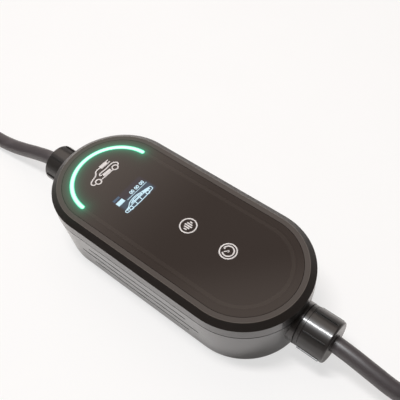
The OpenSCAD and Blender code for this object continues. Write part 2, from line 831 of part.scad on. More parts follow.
// Outer shape of the hank, open where the lead joins the lowest outer turn
// and where the last turn climbs to the connector
module vehicle_hank() {
    outer_column = fold_r + cable_r;
    color(cable_black) difference() {
        translate([hank_x, (hank_near_y + hank_far_y) / 2, 0]) racetrack(hank_run / 2)
            translate([hank_in_r + hank_w / 2, hank_z + hank_h / 2]) round_rect(hank_w, hank_h, cable_r);
        translate([hank_x, hank_near_y, 0]) rotate_extrude(angle = 100)
            translate([outer_column, 0]) square([cable_d + 1, hank_z + cable_d + fit_gap]);
        translate([hank_x + outer_column, hank_near_y - rise_l, hank_top - cable_d])
            cube([cable_d + 1, rise_l, cable_d + 1]);
    }
}

// Section of a strap round the hank's turns
module strap() {
    difference() {
        round_rect(hank_w + 2 * tie_t, hank_h + 2 * tie_t, cable_r + tie_t);
        round_rect(hank_w, hank_h, cable_r);
    }
}

// One strap round a straight run and one round the near fold
module hank_ties() {
    mid_r = hank_in_r + hank_w / 2;
    mid_z = hank_z + hank_h / 2;
    tie_y = hank_far_y + tie_in;
    fold_deg = tie_w / mid_r * 180 / PI;
    color("#3b3b40") {
        translate([hank_x + mid_r, tie_y, mid_z]) rotate([90, 0, 0])
            linear_extrude(tie_w, center = true) strap();
        translate([hank_x, hank_near_y, mid_z]) rotate(90 - fold_deg / 2)
            rotate_extrude(angle = fold_deg) translate([mid_r, 0]) strap();
    }
}

// Places its children on the plug's axis, with z = 0 on its face and z towards the cable
module at_plug() {
    translate([plug_x, plug_y, plug_z]) rotate([-90, 0, 0]) children();
}

// A round plug body that narrows towards the cable, with a notch for each earth clip
module plug_body() {
    body_r = plug_d / 2;
    waist_r = 13;
    rim = 1;
    notch_w = 8;
    notch_d = 3;
    notch_l = 15;
    color(case_black) at_plug() difference() {
        rotate_extrude() polygon(concat(
            [[0, 0], [body_r - rim, 0], [body_r, rim], [body_r, plug_l * 0.4]],
            [for (k = [1:6]) [body_r - (body_r - waist_r) * (1 - cos(k * 30)) / 2,
                plug_l * (0.4 + 0.1 * k)]],
            [[0, plug_l]]));
        for (s = [-1, 1]) translate([-notch_w / 2, s * (body_r - notch_d / 2) - notch_d / 2, -1])
            cube([notch_w, notch_d, notch_l + 1]);
        for (s = [-1, 1]) translate([s * pin_pitch / 2, 0, -1]) cylinder(d = pin_root_d, h = pin_root_l + 1);
    }
}

// Ribbed strain relief behind the plug
module plug_boot() {
    boot_r = 11;
    tip_r = 7.5;
    ribs = 5;
    color(cable_black) at_plug() translate([0, 0, plug_l]) rotate_extrude() polygon(concat(
        [[0, 0]],
        [for (k = [0:ribs - 1], q = [0, 1, 2, 3])
            let (z = (k + [0, 0.55, 0.6, 0.95][q]) / ribs)
            [boot_r + (tip_r - boot_r) * z - (q < 2 ? 0 : 1.4), z * plug_boot_l]],
        [[tip_r - 1.4, plug_boot_l], [0, plug_boot_l]]));
}

// Two round pins with a thinner root, which is set into the body
module plug_pins() {
    tip = 1.2;
    color("#d0c9b8") at_plug() for (s = [-1, 1]) translate([s * pin_pitch / 2, 0, 0]) rotate_extrude()
        polygon([[0, -pin_l], [pin_d / 2 - tip, -pin_l], [pin_d / 2, -pin_l + tip], [pin_d / 2, 0],
            [pin_root_d / 2, 0], [pin_root_d / 2, pin_root_l], [0, pin_root_l]]);
}

// Sprung earth strips in the notches of the body
module plug_earth_clips() {
    strip_w = 7;
    strip_t = 0.8;
    strip_l = 14.5;
    color("#c9b37a") at_plug() for (s = [-1, 1])
        translate([-strip_w / 2, s * (plug_d / 2 - 3 + strip_t / 2) - strip_t / 2, 0.5])
            cube([strip_w, strip_t, strip_l]);
}

// Places its children where the connector's head meets its grip
module at_connector() {
    translate([conn_x, conn_y, conn_z]) children();
}

// Places its children at the tail end of the grip, with z along the tail
module at_tail() {
    at_connector() translate([-grip_r, 0, 0]) rotate(-grip_deg) translate([grip_r, 0, 0])
        rotate([90, 0, 0]) children();
}

// Radius of the connector's head, from the grip to its full size
function flare_r(z) = neck_r + (head_dia / 2 - neck_r) / 2 * (1 - cos(min(z / flare_l, 1) * 180));

// Section through one half of the head's wall, with the seat of the contact carrier
module head_section() {
    steps = 8;
    bore_r = nose_d / 2 + fit_gap;
    polygon(concat(
        [for (k = [0:steps]) [flare_r(flare_l * k / steps), flare_l * k / steps]],
        [[head_dia / 2, head_l - head_edge], [head_dia / 2 - head_edge, head_l], [bore_r, head_l],
         [bore_r, flare_l]],
        [for (k = [steps:-1:0]) [flare_r(flare_l * k / steps) - shell_t, flare_l * k / steps]]));
}

// Section through one half of the grip's wall
module grip_section(side) {
    r = grip_d / 2;
    difference() {
        intersection() {
            circle(r);
            translate([-r - 1, side > 0 ? 0 : -r - 1]) square([2 * r + 2, r + 1]);
        }
        circle(r - shell_t);
    }
}

// Section through one half of the tail's wall, closed at its end
module tail_section() {
    out_r = grip_d / 2 - shell_step;
    in_r = grip_d / 2 - shell_t + shell_step;
    polygon([[in_r, -shell_lap], [out_r, -shell_lap], [out_r, 0], [tail_r, tail_l], [0, tail_l],
        [0, tail_l - shell_t], [tail_r - shell_t, tail_l - shell_t], [in_r, 0]]);
}

// One half of the hollow connector shell, above or below its split
module connector_shell(side) {
    lap_deg = shell_lap / grip_r * 180 / PI;
    color(case_black) difference() {
        union() {
            at_connector() rotate([-90, 0, 0]) rotate(side > 0 ? 180 : 0)
                rotate_extrude(angle = 180) head_section();
            at_connector() translate([-grip_r, 0, 0]) rotate(-grip_deg)
                rotate_extrude(angle = grip_deg + lap_deg) translate([grip_r, 0]) grip_section(side);
            at_tail() rotate(side > 0 ? 0 : 180) rotate_extrude(angle = 180) tail_section();
            for (p = conn_screws) at_connector() translate([p[0], p[1], side > 0 ? 0 : -post_h])
                cylinder(d = boss_d, h = post_h);
        }
        for (p = conn_screws) at_connector() translate([p[0], p[1], 0]) {
            translate([0, 0, -grip_screw_in - 1])
                cylinder(d = screw_d + 2 * screw_gap, h = grip_screw_in + grip_seat + 2);
            if (side > 0) translate([0, 0, grip_seat]) cylinder(d = head_d + 4 * screw_gap, h = grip_d);
        }
    }
}

module connector_lower_shell() connector_shell(-1);
module connector_upper_shell() connector_shell(1);

// Contact carrier: a round nose with one flat, bored for the contacts
module connector_carrier() {
    nose_l = head_l + nose_out - flare_l;
    color("#2a2a2c") at_connector() translate([0, flare_l, 0]) rotate([-90, 0, 0]) difference() {
        cylinder(d = nose_d, h = nose_l);
        translate([nose_d / 2 - 5, -nose_d / 2, head_l - flare_l]) cube([10, nose_d, nose_out + 1]);
        for (c = contact_spots) translate([c[1], c[0], nose_l - contact_l])
            cylinder(d = c[2] + 2, h = contact_l + 1);
    }
}

// Socket contacts, open towards the nose
module connector_contacts() {
    color("#c9b37a") at_connector() translate([0, head_l + nose_out - contact_l, 0]) rotate([-90, 0, 0])
        for (c = contact_spots) translate([c[1], c[0], 0]) difference() {
            cylinder(d = c[2] + 2, h = contact_l - 2);
            translate([0, 0, 4]) cylinder(d = c[2], h = contact_l);
        }
}

// Ribbed strain relief behind the connector
module connector_boot() {
    root_r = tail_r;
    tip_r = 7.5;
    ribs = 5;
    color(cable_black) at_tail() translate([0, 0, tail_l]) rotate_extrude() polygon(concat(
        [[0, 0]],
        [for (k = [0:ribs - 1], q = [0, 1, 2, 3])
            let (z = (k + [0, 0.55, 0.6, 0.95][q]) / ribs)
            [root_r + (tip_r - root_r) * z - (q < 2 ? 0 : 1.4), z * boot_l]],
        [[tip_r - 1.4, boot_l], [0, boot_l]]));
}

// Dust cap pushed over the nose, with a pull tab
module connector_cap() {
    cap_in_r = nose_d / 2 + fit_gap;
    cap_r = cap_in_r + cap_t;
    cap_l = nose_out + cap_t + fit_gap;
    edge = 2;
    color("#232325") at_connector() translate([0, head_l, 0]) {
        rotate([-90, 0, 0]) difference() {
            rotate_extrude() polygon([[0, 0], [cap_r, 0], [cap_r, cap_l - edge], [cap_r - edge, cap_l],
                [0, cap_l]]);
            translate([0, 0, -1]) cylinder(r = cap_in_r, h = nose_out + fit_gap + 1);
        }
        translate([cap_r - 1, 0, -6]) cube([7, 3, 12]);
    }
}

module connector_screws() {
    color("#b9bcc0") for (p = conn_screws) at_connector() translate([p[0], p[1], grip_seat]) {
        cylinder(d = head_d, h = head_h);
        translate([0, 0, -grip_seat - grip_screw_in]) cylinder(d = screw_d, h = grip_seat + grip_screw_in + tiny);
    }
}

lower_case();
upper_cover();
case_seal();
front_panel();
panel_tape();
light_guide();
indicator_leds();
display_module();
display_board();
touch_pads();
buzzer();
board_link();
main_board();
relays();
residual_current_sensor();
power_module();
capacitors();
varistors();
fuse();
controller_chip();
supply_terminals();
vehicle_terminals();
supply_leads();
vehicle_leads();
case_screws();
board_screws();
supply_gland_body();
supply_gland_locknut();
supply_gland_seal();
supply_gland_nut();
vehicle_gland_body();
vehicle_gland_locknut();
vehicle_gland_seal();
vehicle_gland_nut();
supply_cable();
vehicle_cable();
vehicle_tail();
vehicle_hank();
hank_ties();
plug_body();
plug_boot();
plug_pins();
plug_earth_clips();
connector_lower_shell();
connector_upper_shell();
connector_carrier();
connector_contacts();
connector_boot();
connector_cap();
connector_screws();
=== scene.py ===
"""Looks of a portable car charging box: camera, studio, finishes, leads, straps and the print on its face.

Sizes are written in millimetres in the frame of the CAD model and turned to metres as meshes are made.
X runs across the box, +Y towards its lit end and Z up.
"""

import json
import math

import bmesh
import bpy
from mathutils import Matrix, Vector

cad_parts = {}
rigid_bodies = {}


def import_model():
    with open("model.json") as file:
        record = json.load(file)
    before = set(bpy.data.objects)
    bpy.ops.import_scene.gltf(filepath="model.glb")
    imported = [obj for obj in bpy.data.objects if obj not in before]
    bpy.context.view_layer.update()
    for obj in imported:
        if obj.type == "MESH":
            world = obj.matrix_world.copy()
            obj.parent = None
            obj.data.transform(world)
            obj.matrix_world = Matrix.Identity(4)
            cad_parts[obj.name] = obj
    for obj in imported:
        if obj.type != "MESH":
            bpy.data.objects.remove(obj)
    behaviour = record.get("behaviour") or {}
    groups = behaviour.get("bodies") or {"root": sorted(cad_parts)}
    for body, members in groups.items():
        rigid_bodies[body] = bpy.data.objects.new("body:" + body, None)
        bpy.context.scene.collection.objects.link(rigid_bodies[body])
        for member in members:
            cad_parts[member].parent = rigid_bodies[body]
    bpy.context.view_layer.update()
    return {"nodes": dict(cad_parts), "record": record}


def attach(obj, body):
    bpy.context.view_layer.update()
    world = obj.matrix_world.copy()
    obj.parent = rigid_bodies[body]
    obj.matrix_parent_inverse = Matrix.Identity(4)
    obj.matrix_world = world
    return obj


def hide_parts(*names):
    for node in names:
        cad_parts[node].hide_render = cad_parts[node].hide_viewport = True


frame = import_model()
MM = 0.001

# Camera: focal length in pixels of a square frame, its eye and its axes
FRAME_PX = 400
FOCAL_PX = 613.294
SENSOR = 36
EYE = (-151.479, -177.598, 374.932)
RIGHT = (0.63117623, -0.77165326, -0.0785354)
DOWN = (-0.64903018, -0.46999215, -0.59822004)
AHEAD = (0.42470742, 0.42855412, -0.79747412)

# Leads
CABLE_D = 11
CABLE_R = CABLE_D / 2
GLAND_H = 23.5
GLAND_END = 122.6
LEAD_START = 106
SUPPLY_ROUTE = [
    (0, LEAD_START, GLAND_H), (0, GLAND_END, GLAND_H), (-0.5, 135, 21.6), (-1.5, 150, 17.4), (-3, 165, 13),
    (-4.3, 180, 9.2), (-5, 196, 6.5), (-4.6, 214, 5.5), (-1, 234, 5.5), (8, 256, 5.5), (20, 277, 5.5),
    (30.5, 297, 5.5), (37, 315, 5.5), (39, 332, 5.5), (33.1, 354.1, 5.5), (16.9, 370.3, 5.5), (-5.2, 376.3, 5.6),
    (-27.4, 370.3, 6.4), (-43.6, 354.1, 8.6), (-49.5, 332, 12.6), (-49.5, 314, 16.8), (-49.5, 300, 19),
    (-49.5, 286, 19)]

# Hank of the vehicle lead: turns of two radii in four layers, and the turn over its far fold
HANK_X = -15
HANK_NEAR = -243
HANK_FAR = -445
HANK_LAPS = 7
TIE_T = 1.2
TIE_W = 20
TIE_Y = -375
INNER_R = 33
OUTER_R = INNER_R + CABLE_D
LOW_Z = TIE_T + CABLE_R
HANK_TOP = TIE_T + 4 * CABLE_D
HIGH_Z = HANK_TOP - CABLE_R
OVER_Z = HANK_TOP + TIE_T + CABLE_R + 0.2
TURN_R = INNER_R + CABLE_R
LEAD_X = HANK_X + OUTER_R
SLOTS = [(r, LOW_Z + CABLE_D * k) for k in range(4)
         for r in ((OUTER_R, INNER_R) if k % 2 == 0 else (INNER_R, OUTER_R))]

# Connector in the hank's slot
GRIP_DEG = 24
GRIP_R = 218
GRIP_D = 36
CONN_Z = HANK_TOP + 13.4
TAIL_LENGTH = 40

# Plug, on its side with its pins towards the box
PLUG_X = -49.5
PLUG_Y = 222
PLUG_R = 19
PLUG_WAIST = 13
PLUG_L = 40

# Ribs of the gland nuts
RIB_N = 6
RIB_TURN = 9.3
RIB_CREST = 14.85
RIB_FROM = 105.4
RIB_TO = 120

# Small car on the display
CAR_PLACE = (-2.6, 31.0)

# Radii of the fine relief
RIB_CREST_R = 0.38
GRIP_RIDGE_R = 0.9
PLUG_RIDGE_R = 0.8

# Studio, in metres: radius and height along the floor's sweep, and how white the floor looks, seen and mirrored
SWEEP = [(3.0, 0.0), (3.8, 0.05), (4.6, 0.22), (5.3, 0.55), (5.8, 1.0), (6.1, 1.6)]
SWEEP_SIDES = 64
FLOOR_WHITE = 0.66
FLOOR_MIRRORED = 0.3

# Name of the woven strap's map of length and width
WEAVE = "weave"

# Face
FACE_Z = 51
PRINT_LIFT = 0.03
SPINE = 55
FRAME_LINE = (29.4, 31.8)
PANEL_BORDER = 33
LAND_LINE = (40.45, 40.95)
LAND_R = 41.05
SLOPE_Z = 48
ARC_Y = 55
ARC_R = 30
ARC_W = 3.4
ARC_TIP_DEG = 3.2
KEY_X = 0.6
KEY_YS = (-10.5, -43)
KEY_R = 5.55
DISPLAY_FIELD = (-15.3, 12.2, 27.2, 43.6)
DISPLAY_SHADE = (-14.4, 11.6, 28.4, 37.2)


def unit_deg(angle):
    """Point on the unit circle at an angle in degrees."""
    return math.cos(math.radians(angle)), math.sin(math.radians(angle))


CONN_Y = (HANK_FAR + (TURN_R + GRIP_R) * math.sin(math.radians(GRIP_DEG))
          + TAIL_LENGTH * math.cos(math.radians(GRIP_DEG)))


class Wire:
    """A node's output that takes part in Python arithmetic, adding Math nodes as it goes."""

    def __init__(self, graph, socket):
        self.graph = graph
        self.socket = socket

    def output(self, name):
        """Another output of the same node."""
        return Wire(self.graph, self.socket.node.outputs[name])

    def maths(self, operation, *values):
        return self.graph.add("ShaderNodeMath", {"operation": operation}, values)

    def __add__(self, other):
        return self.maths("ADD", self, other)

    def __radd__(self, other):
        return self.maths("ADD", other, self)

    def __sub__(self, other):
        return self.maths("SUBTRACT", self, other)

    def __rsub__(self, other):
        return self.maths("SUBTRACT", other, self)

    def __mul__(self, other):
        return self.maths("MULTIPLY", self, other)

    def __rmul__(self, other):
        return self.maths("MULTIPLY", other, self)

    def __truediv__(self, other):
        return self.maths("DIVIDE", self, other)

    def __rtruediv__(self, other):
        return self.maths("DIVIDE", other, self)

    def __abs__(self):
        return self.maths("ABSOLUTE", self)

    def sqrt(self):
        return self.maths("SQRT", self)

    def exp(self):
        return self.maths("EXPONENT", self)

    def sin(self):
        return self.maths("SINE", self)

    def most(self, other):
        return self.maths("MAXIMUM", self, other)

    def least(self, other):
        return self.maths("MINIMUM", self, other)

    def step(self, low, high):
        """Rises smoothly from 0 at low to 1 at high."""
        return self.graph.add("ShaderNodeMapRange", {"interpolation_type": "SMOOTHSTEP"},
                              {"Value": self, "From Min": low, "From Max": high})

    def between(self, low, high, soft):
        """1 from low to high, falling to 0 over a soft border."""
        return self.step(low - soft, low + soft) * (1 - self.step(high - soft, high + soft))


class Graph:
    """A node tree with one method that adds any node."""

    def __init__(self, tree):
        self.tree = tree

    def add(self, kind, settings=None, sockets=(), output=0):
        node = self.tree.nodes.new(kind)
        for key, value in (settings or {}).items():
            setattr(node, key, value)
        pairs = sockets.items() if isinstance(sockets, dict) else enumerate(sockets)
        for key, value in pairs:
            if isinstance(value, Wire):
                self.tree.links.new(value.socket, node.inputs[key])
            else:
                node.inputs[key].default_value = value
        return Wire(self, node.outputs[output]) if node.outputs else node


class Finish(Graph):
    """A material in the making, with the places and patterns that finishes share."""

    def __init__(self, name):
        self.material = bpy.data.materials.new(name)
        self.material.use_nodes = True
        self.material.node_tree.nodes.clear()
        super().__init__(self.material.node_tree)
        self.place = self.add("ShaderNodeTexCoord", output="Object")

    def axes(self):
        """X, Y and Z of the place, in millimetres."""
        split = self.add("ShaderNodeSeparateXYZ", sockets=[self.place])
        return [split.output(axis) * (1 / MM) for axis in "XYZ"]

    def noise(self, size, detail=2.0, stretch=None):
        """Noise from 0 to 1 with features of a size in millimetres."""
        place = self.place
        if stretch:
            place = self.add("ShaderNodeMapping", sockets={"Vector": place, "Scale": stretch})
        return self.add("ShaderNodeTexNoise", sockets={
            "Vector": place, "Scale": 1 / (size * MM), "Detail": detail}, output="Fac")

    def blend(self, share, low, high):
        """A colour between two, by a share from 0 to 1."""
        return self.add("ShaderNodeMix", {"data_type": "RGBA"}, {0: share, 6: low, 7: high}, output=2)

    def bump(self, height, depth, strength=1.0):
        """Normal of a surface whose height varies by a depth in millimetres."""
        return self.add("ShaderNodeBump", sockets={"Height": height, "Distance": depth * MM, "Strength": strength})

    def done(self, **sockets):
        """Ends the material in a principled surface with the given sockets."""
        named = {key.replace("_", " "): value for key, value in sockets.items()}
        surface = self.add("ShaderNodeBsdfPrincipled", sockets=named)
        self.add("ShaderNodeOutputMaterial", sockets=[surface])
        return self.material


def rgb(red, green, blue):
    return (red, green, blue, 1.0)


def scaled(colour, factor):
    return (*[c * factor for c in colour[:3]], 1.0)


def moulded(name, colour, rough=0.4, grain=0.35, depth=0.02, shine=0.5, coat=0.0, coat_rough=0.18):
    """Moulded plastic or rubber with a fine eroded grain and slightly uneven gloss."""
    f = Finish(name)
    cloud = f.noise(14, 3)
    texture = f.noise(grain, 3)
    return f.done(
        Base_Color=f.blend(cloud * 0.6 + texture * 0.4, scaled(colour, 0.8), scaled(colour, 1.2)),
        Roughness=rough * 0.82 + cloud * (rough * 0.24) + texture * (rough * 0.12),
        Specular_IOR_Level=shine, Coat_Weight=coat, Coat_Roughness=coat_rough,
        Normal=f.bump(texture, depth))


def metal(name, colour, rough=0.25):
    """Plated or bare metal with fine turned lines and a little tarnish."""
    f = Finish(name)
    lines = f.noise(0.3, 2, stretch=(1, 0.06, 1))
    tarnish = f.noise(4, 4).step(0.45, 0.75)
    return f.done(Base_Color=f.blend(tarnish, colour, scaled(colour, 0.72)), Metallic=1.0,
                  Roughness=rough + lines * 0.12 + tarnish * 0.1, Normal=f.bump(lines, 0.01))


def arc_distance(x, y):
    """Distance in millimetres from the middle line of the lit half ring."""
    dy = y - ARC_Y
    ring = abs((x * x + dy * dy).sqrt() - ARC_R)
    c, d = unit_deg(ARC_TIP_DEG)
    dx, down = abs(x) - ARC_R * c, dy - ARC_R * d
    tip = (dx * dx + down * down).sqrt()
    above = down.step(-0.01, 0.01)
    return ring * above + tip * (1 - above)


def painted_glow(x, y, near, far):
    """Painted green glow round the lit half ring, as emission: a narrow part and a wide one."""
    away = arc_distance(x, y)
    return (away * -0.9).exp() * near + (away * -0.33).exp() * far


def within(x, y, box, soft):
    """1 inside a box of x and y, falling to 0 over a soft border."""
    x0, x1, y0, y1 = box
    return x.between(x0, x1, soft) * y.between(y0, y1, soft)


def rim_distance(x, y):
    """Distance in millimetres from the spine of the box, seen from above."""
    along = (abs(y) - SPINE).most(0.0)
    return (x * x + along * along).sqrt()


def case_finish():
    """Satin black plastic with a fine spark grain, duller on the cover's sloped rim. The cover's top is painted paler
    as a painted sheen, with a painted highlight line along the land and a painted green glow near the lit ring."""
    f = Finish("satin_black_case")
    x, y, z = f.axes()
    cloud = f.noise(20, 3)
    texture = f.noise(0.3, 3)
    edge = rim_distance(x, y)
    # Painted highlight: a thin pale ring of base colour along the land's outer edge, standing in for the edge
    # catching the light
    painted_edge_highlight = edge.between(*LAND_LINE, 0.15) * z.step(FACE_Z - 0.6, FACE_Z - 0.2)
    top = z.step(SLOPE_Z - 0.2, SLOPE_Z + 0.2)
    slope = edge.step(LAND_R - 0.15, LAND_R + 0.15) * top
    plain = f.blend(cloud * 0.5 + texture * 0.5, rgb(0.0075, 0.007, 0.0072), rgb(0.0125, 0.0118, 0.012))
    # Painted glow: green emission on the cover's top, standing in for the ring's light falling on it
    painted_spill = painted_glow(x, y, 0.0, 0.2) * z.step(46, 50)
    return f.done(
        # Painted sheen: the cover's top (land and sloped rim) is painted paler in its base colour, and the land's
        # outer edge carries a painted highlight line
        Base_Color=f.blend(painted_edge_highlight, f.blend(top * 0.8, plain, rgb(0.045, 0.041, 0.042)), rgb(0.15, 0.145, 0.14)),
        Roughness=0.2 + cloud * 0.05 + texture * 0.05 + slope * 0.2, Specular_IOR_Level=0.5,
        Specular_Tint=rgb(1.0, 0.93, 0.93),
        Coat_Weight=0.75 + top * 0.25 - slope * 0.5, Coat_Roughness=0.2,
        Emission_Color=f.blend(painted_spill, rgb(0, 0, 0), rgb(0.0, 0.85, 0.45)), Emission_Strength=1.0,
        Normal=f.bump(texture, 0.006))


def panel_finish():
    """Smoked acrylic over a printed frame line, glossier towards both ends. A painted green glow from the lit ring
    lies in it as emission, and blue light from the display shows through it."""
    f = Finish("smoked_acrylic")
    x, y, _ = f.axes()
    edge = rim_distance(x, y)
    frame_line = edge.between(*FRAME_LINE, 0.4)
    border = edge.step(PANEL_BORDER - 0.4, PANEL_BORDER + 0.4)
    cloud = f.noise(30, 2)
    smear = f.noise(6, 4, stretch=(1, 0.4, 1))
    # Painted glow: green emission in the acrylic round the lit ring
    painted_spill = f.blend(painted_glow(x, y, 0.35, 0.38), rgb(0, 0, 0), rgb(0.0, 0.62, 0.32))
    field = f.blend(within(x, y, DISPLAY_FIELD, 1.2), painted_spill, rgb(0.004, 0.006, 0.018))
    tint = f.blend(frame_line * 0.8 + border * 0.25, rgb(0.0165, 0.0072, 0.005), rgb(0.06, 0.05, 0.046))
    return f.done(
        Base_Color=f.blend(cloud * 0.4, tint, rgb(0.017, 0.0092, 0.0065)),
        Roughness=0.05 + smear.step(0.4, 0.8) * 0.05, Specular_IOR_Level=0.43, Specular_Tint=rgb(1.0, 0.92, 0.9),
        Coat_Weight=y.step(-15, 85) * 0.95 + (1 - (x + y).step(-100, -45)) * 0.5, Coat_Roughness=0.06,
        Emission_Color=f.blend(within(x, y, DISPLAY_SHADE, 1.4), field, rgb(0.018, 0.05, 0.085)),
        Emission_Strength=1.0, Normal=f.bump(cloud, 0.02, 0.3))


def rubber_cable():
    """Matt extruded sheath with fine speckle and scuffs."""
    f = Finish("cable_sheath")
    speckle = f.noise(0.5, 3)
    scuff = f.noise(9, 4).step(0.52, 0.78)
    return f.done(
        Base_Color=f.blend(scuff * 0.5 + speckle * 0.3, rgb(0.056, 0.048, 0.0515), rgb(0.1, 0.087, 0.0915)),
        Roughness=0.38 + scuff * 0.12 + speckle * 0.06, Specular_IOR_Level=0.95,
        Normal=f.bump(speckle, 0.03))


def woven_strap():
    """Plain woven tape with firm edges, by its own length and width."""
    f = Finish("woven_strap")
    place = f.add("ShaderNodeUVMap", {"uv_map": WEAVE})
    split = f.add("ShaderNodeSeparateXYZ", sockets=[place])
    across, along = [split.output(axis) * (1 / MM) for axis in "XY"]
    warp = (across * (math.pi / 0.9)).sin()
    weft = (along * (math.pi / 0.7)).sin()
    yarn = (warp * weft) * 0.5 + 0.5
    firm = abs(across).step(TIE_W / 2 - 1.6, TIE_W / 2 - 1.1)
    fuzz = f.noise(0.8, 4)
    tone = yarn * 0.5 + fuzz * 0.4 + firm * 0.1
    return f.done(
        Base_Color=f.blend(tone, rgb(0.012, 0.012, 0.014), rgb(0.06, 0.06, 0.065)),
        Roughness=0.8 + fuzz * 0.14, Sheen_Weight=0.3, Normal=f.bump(yarn * (1 - firm) + fuzz * 0.5, 0.14))


def printed_ink(name, colour):
    """Light grey ink behind the panel."""
    f = Finish(name)
    patch = f.noise(1.2, 3)
    return f.done(Base_Color=f.blend(patch, scaled(colour, 0.92), colour), Roughness=0.3 + patch * 0.1,
                  Specular_IOR_Level=0.3)


def lit(name, dim, bright, strength, size=0.6):
    """Lit pixels or plastic that shine through the panel."""
    f = Finish(name)
    flicker = f.noise(size, 2)
    colour = f.blend(flicker, dim, bright)
    return f.done(Base_Color=rgb(0.02, 0.03, 0.04), Roughness=0.2, Emission_Color=colour,
                  Emission_Strength=strength)


def lit_ring():
    """Half ring that is nearly white along its middle and green towards its edges."""
    f = Finish("lit_half_ring")
    x, y, _ = f.axes()
    core = (arc_distance(x, y) / (ARC_W / 2)).step(0.42, 1.0)
    flicker = f.noise(3, 2)
    return f.done(Base_Color=rgb(0.1, 0.4, 0.25), Roughness=0.25,
                  Emission_Color=f.blend(core + flicker * 0.08, rgb(0.78, 1.0, 0.9), rgb(0.0, 0.6, 0.32)),
                  Emission_Strength=1.0)


def pale_floor():
    """Pale paper that keeps the shadow, whitened where it is seen or mirrored."""
    f = Finish("pale_floor")
    seen = f.add("ShaderNodeLightPath", output="Is Camera Ray")
    mirrored = seen.output("Is Glossy Ray") + seen.output("Is Transmission Ray")
    paper = f.add("ShaderNodeBsdfPrincipled", sockets={
        "Base Color": f.blend(f.noise(60, 2), rgb(0.89, 0.855, 0.835), rgb(0.93, 0.895, 0.875)), "Roughness": 0.55,
        "Specular IOR Level": 0.2})
    white = f.add("ShaderNodeEmission", sockets={"Color": rgb(1.0, 1.0, 1.0), "Strength": 1.0})
    share = (seen + mirrored * FLOOR_MIRRORED).least(1.0) * FLOOR_WHITE
    f.add("ShaderNodeOutputMaterial", sockets=[f.add("ShaderNodeMixShader", sockets=[share, paper, white])])
    return f.material


def smooth(points, spacing):
    """Points along one smooth line through the given ones, about a spacing apart."""
    pts = [Vector(p) for p in points]
    pts = [2 * pts[0] - pts[1]] + pts + [2 * pts[-1] - pts[-2]]
    line = []
    for a, b, c, d in zip(pts, pts[1:], pts[2:], pts[3:]):
        knots = [0.0]
        for p, q in ((a, b), (b, c), (c, d)):
            knots.append(knots[-1] + math.sqrt((q - p).length))
        k0, k1, k2, k3 = knots
        count = max(1, round((c - b).length / spacing))
        for i in range(count):
            t = k1 + (k2 - k1) * i / count
            ab = a.lerp(b, (t - k0) / (k1 - k0))
            bc = b.lerp(c, (t - k1) / (k2 - k1))
            cd = c.lerp(d, (t - k2) / (k3 - k2))
            line.append(ab.lerp(bc, (t - k0) / (k2 - k0)).lerp(bc.lerp(cd, (t - k1) / (k3 - k1)),
                                                                (t - k1) / (k2 - k1)))
    line.append(pts[-2])
    return line


def ease(t):
    t = min(1.0, max(0.0, t))
    return t * t * (3 - 2 * t)


def hank_turns(per_lap=112):
    """Centre line of the wound turns. Each slot is held for seven eighths of a lap, and the change to the next
    slot lies an eighth of a lap earlier on each lap, so a turn always moves into an empty slot."""
    hold = HANK_LAPS / len(SLOTS)
    change = 1 / 8
    run = HANK_NEAR - HANK_FAR
    fold = math.pi * TURN_R
    lap = 2 * (run + fold)
    line = []
    for i in range(1, HANK_LAPS * per_lap):
        t = i / per_lap
        k = min(len(SLOTS) - 1, max(0, int(t / hold + 0.5) - 1))
        share = ease((t - (k + 1) * hold) / change + 0.5) if k + 1 < len(SLOTS) else 0.0
        r, z = [a + (b - a) * share for a, b in zip(SLOTS[k], SLOTS[min(k + 1, len(SLOTS) - 1)])]
        s = t % 1 * lap
        if s < run:
            line.append((HANK_X + r, HANK_NEAR - s, z))
        elif s < run + fold:
            c, d = unit_deg((s - run) / fold * 180)
            line.append((HANK_X + r * c, HANK_FAR - r * d, z))
        elif s < 2 * run + fold:
            line.append((HANK_X - r, HANK_FAR + s - run - fold, z))
        else:
            c, d = unit_deg((s - 2 * run - fold) / fold * 180)
            line.append((HANK_X - r * c, HANK_NEAR + r * d, z))
    return line


def over_turn(angle):
    """Point of the last turn, over the far fold of the hank."""
    c, d = unit_deg(angle)
    return (HANK_X + TURN_R * c, HANK_FAR - TURN_R * d, OVER_Z + (CONN_Z - OVER_Z) * angle / (180 + GRIP_DEG))


def vehicle_line():
    """Centre line of the vehicle lead from its gland to the connector."""
    lead = [(0, -LEAD_START, GLAND_H), (0, -GLAND_END, GLAND_H), (-0.3, -135, 22.4), (-0.8, -150, 19.8),
            (-0.5, -165, 16), (3.4, -180, 10.4), (10.7, -195, 6.8), (19.1, -210, LOW_Z), (LEAD_X - 2.8, -225, LOW_Z),
            (LEAD_X - 0.3, -236, LOW_Z), (LEAD_X, HANK_NEAR, LOW_Z)]
    tail = [(LEAD_X, HANK_NEAR, HIGH_Z), (LEAD_X, -262, HIGH_Z + 1.1), (LEAD_X, -285, HIGH_Z + 6.3),
            (LEAD_X, -306, HIGH_Z + 10.7), (LEAD_X - 2, -330, OVER_Z), (HANK_X + TURN_R, -362, OVER_Z),
            (HANK_X + TURN_R, -402, OVER_Z)]
    turn = [over_turn(a) for a in range(0, 181, 15)] + [over_turn(180 + GRIP_DEG)]
    c, s = unit_deg(GRIP_DEG)
    end = Vector(turn[-1]) + Vector((s, c, 0)) * 6
    return smooth(lead + hank_turns() + tail + turn + [end], 4)


def polyline(name, lines):
    """A mesh object of bare edges along each line of points, closed where a line says so."""
    verts, edges = [], []
    for points, closed in lines:
        first = len(verts)
        verts += [Vector(p) * MM for p in points]
        edges += [(i, i + 1) for i in range(first, len(verts) - 1)]
        if closed:
            edges.append((len(verts) - 1, first))
    mesh = bpy.data.meshes.new(name)
    mesh.from_pydata(verts, edges, [])
    return bpy.data.objects.new(name, mesh)


